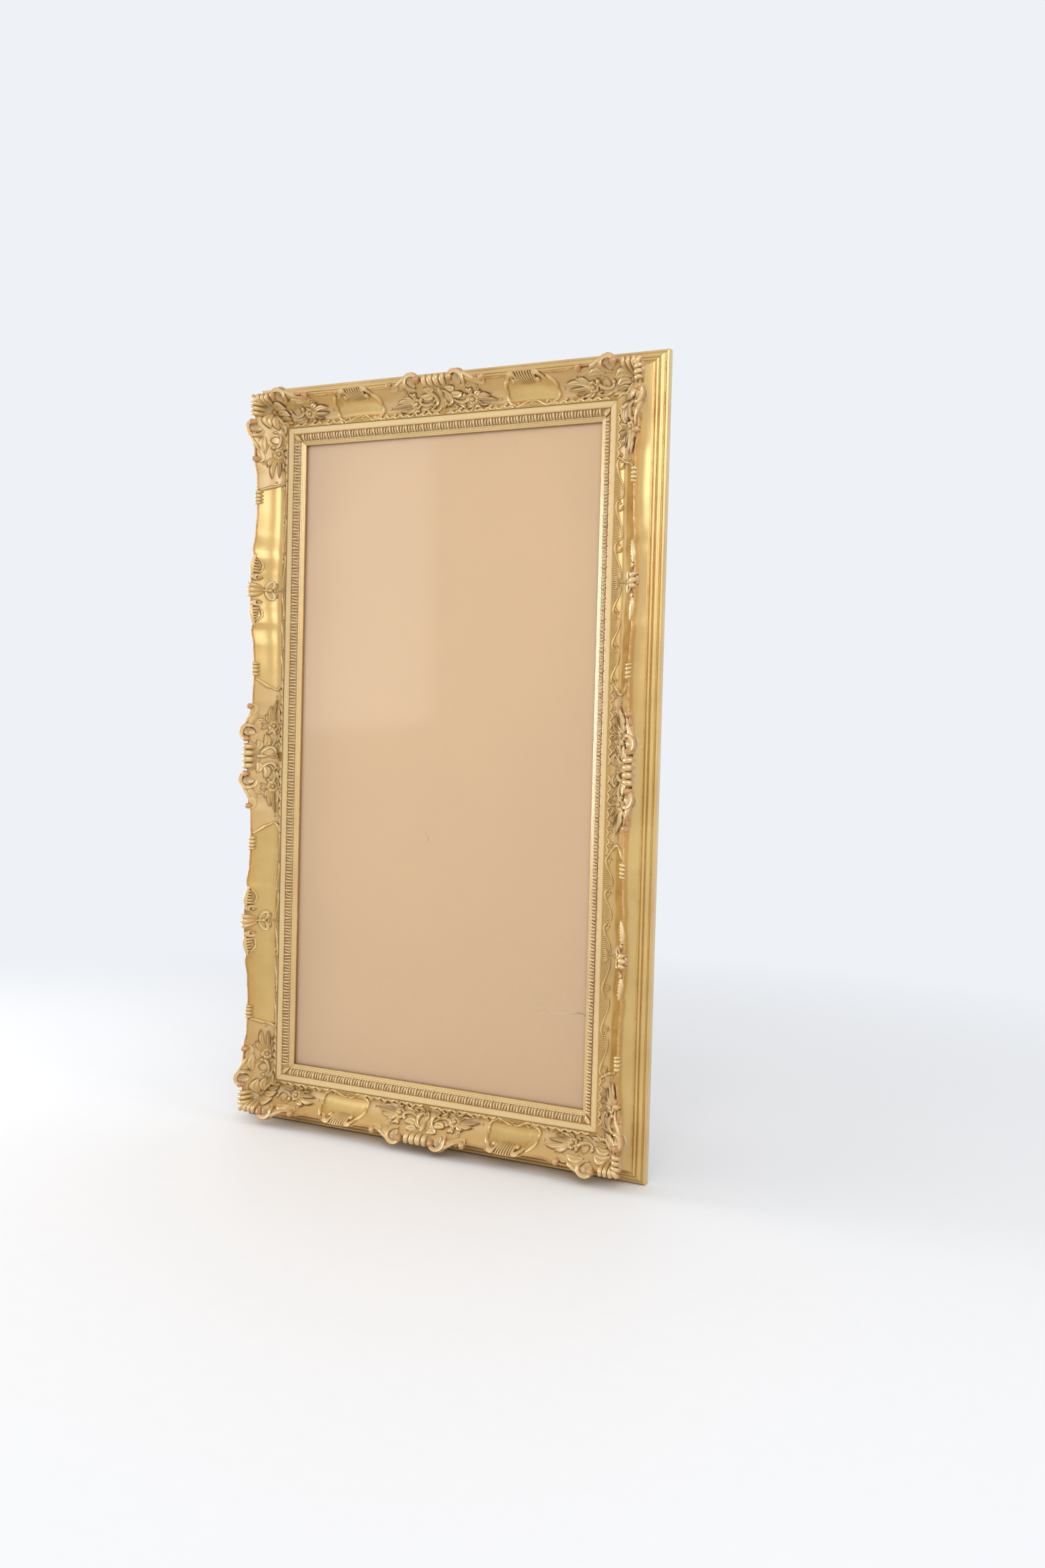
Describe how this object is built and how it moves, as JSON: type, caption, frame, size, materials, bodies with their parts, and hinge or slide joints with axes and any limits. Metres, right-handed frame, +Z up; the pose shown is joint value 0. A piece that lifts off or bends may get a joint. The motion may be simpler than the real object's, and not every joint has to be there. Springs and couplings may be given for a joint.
{
  "type": "picture frame",
  "caption": "Gilded rococo swept picture frame with shell and scroll ornament, glazed over a tan paper-faced panel, with turn buttons and hinged hanging rings on its back.",
  "frame": {"origin": "middle of the bottom edge of the bottom back rail, halfway across the flat strip that the frame stands on", "axes": "+X to the viewer's right, +Y out of the back towards the wall, +Z up; the front faces -Y"},
  "size_m": [0.961, 0.0909, 1.601],
  "materials": {
    "gilt_rail": "water gilding over bole on carved wood, burnished panels, matte punched grounds",
    "gilt_ornament": "matte gilding over gesso with toned recesses and bole showing at worn edges",
    "gilt_slip": "gilded lip and leaf-tip band, pale toned flat",
    "clear_glass": "clear polished float glass",
    "tan_paper": "matte tan paper facing with a nick and a small tear",
    "hardboard": "brown pressed fibre, smooth side out",
    "brass": "satin, slightly tarnished",
    "steel": "bright zinc",
    "key_wood": "bare close-grained wood"
  },
  "bodies": {
    "frame": {"swept_rail_top": "gilt_rail", "back_rail_top": "gilt_rail", "sight_slip_top": "gilt_slip", "centre_ornament_top": "gilt_ornament", "assembly_screw_top_1": "steel", "assembly_screw_top_2": "steel", "swept_rail_right": "gilt_rail", "back_rail_right": "gilt_rail", "sight_slip_right": "gilt_slip", "centre_ornament_right": "gilt_ornament", "assembly_screw_right_1": "steel", "assembly_screw_right_2": "steel", "swept_rail_bottom": "gilt_rail", "back_rail_bottom": "gilt_rail", "sight_slip_bottom": "gilt_slip", "centre_ornament_bottom": "gilt_ornament", "assembly_screw_bottom_1": "steel", "assembly_screw_bottom_2": "steel", "swept_rail_left": "gilt_rail", "back_rail_left": "gilt_rail", "sight_slip_left": "gilt_slip", "centre_ornament_left": "gilt_ornament", "assembly_screw_left_1": "steel", "assembly_screw_left_2": "steel", "corner_ornament_top_right": "gilt_ornament", "mitre_key_top_right": "key_wood", "corner_ornament_bottom_right": "gilt_ornament", "mitre_key_bottom_right": "key_wood", "corner_ornament_bottom_left": "gilt_ornament", "mitre_key_bottom_left": "key_wood", "corner_ornament_top_left": "gilt_ornament", "mitre_key_top_left": "key_wood", "clasp_left_upper": "gilt_ornament", "clasp_left_lower": "gilt_ornament", "clasp_right_upper": "gilt_ornament", "clasp_right_lower": "gilt_ornament", "button_screw_top": "steel", "button_screw_bottom": "steel", "button_screw_left_1": "steel", "button_screw_left_2": "steel", "button_screw_right_1": "steel", "button_screw_right_2": "steel", "hanger_strap_left": "brass", "strap_screw_left_1": "steel", "strap_screw_left_2": "steel", "hanger_strap_right": "brass", "strap_screw_right_1": "steel", "strap_screw_right_2": "steel", "glass_pane": "clear_glass", "paper_panel": "tan_paper", "back_board": "hardboard"},
    "turn_button_top": {"turn_button_top": "brass"},
    "turn_button_bottom": {"turn_button_bottom": "brass"},
    "turn_button_left_1": {"turn_button_left_1": "brass"},
    "turn_button_left_2": {"turn_button_left_2": "brass"},
    "turn_button_right_1": {"turn_button_right_1": "brass"},
    "turn_button_right_2": {"turn_button_right_2": "brass"},
    "hanger_ring_left": {"hanger_ring_left": "brass"},
    "hanger_ring_right": {"hanger_ring_right": "brass"}
  },
  "joints": [
    {"name": "turn_button_top_turn", "type": "hinge", "parent": "frame", "child": "turn_button_top", "pos_m": [0, -0.0061, 1.4895], "axis": [0, 1, 0], "range_deg": [-180, 180]},
    {"name": "turn_button_bottom_turn", "type": "hinge", "parent": "frame", "child": "turn_button_bottom", "pos_m": [0, -0.0061, 0.1115], "axis": [0, 1, 0], "range_deg": [-180, 180]},
    {"name": "turn_button_left_1_turn", "type": "hinge", "parent": "frame", "child": "turn_button_left_1", "pos_m": [-0.369, -0.0061, 0.4905], "axis": [0, 1, 0], "range_deg": [-180, 180]},
    {"name": "turn_button_left_2_turn", "type": "hinge", "parent": "frame", "child": "turn_button_left_2", "pos_m": [-0.369, -0.0061, 1.1105], "axis": [0, 1, 0], "range_deg": [-180, 180]},
    {"name": "turn_button_right_1_turn", "type": "hinge", "parent": "frame", "child": "turn_button_right_1", "pos_m": [0.369, -0.0061, 1.1105], "axis": [0, 1, 0], "range_deg": [-180, 180]},
    {"name": "turn_button_right_2_turn", "type": "hinge", "parent": "frame", "child": "turn_button_right_2", "pos_m": [0.369, -0.0061, 0.4905], "axis": [0, 1, 0], "range_deg": [-180, 180]},
    {"name": "hanger_ring_left_swing", "type": "hinge", "parent": "frame", "child": "hanger_ring_left", "pos_m": [-0.4143, -0.0043, 1.2405], "axis": [1, 0, 0], "range_deg": [0, 180]},
    {"name": "hanger_ring_right_swing", "type": "hinge", "parent": "frame", "child": "hanger_ring_right", "pos_m": [0.4143, -0.0043, 1.2405], "axis": [1, 0, 0], "range_deg": [0, 180]}
  ]
}
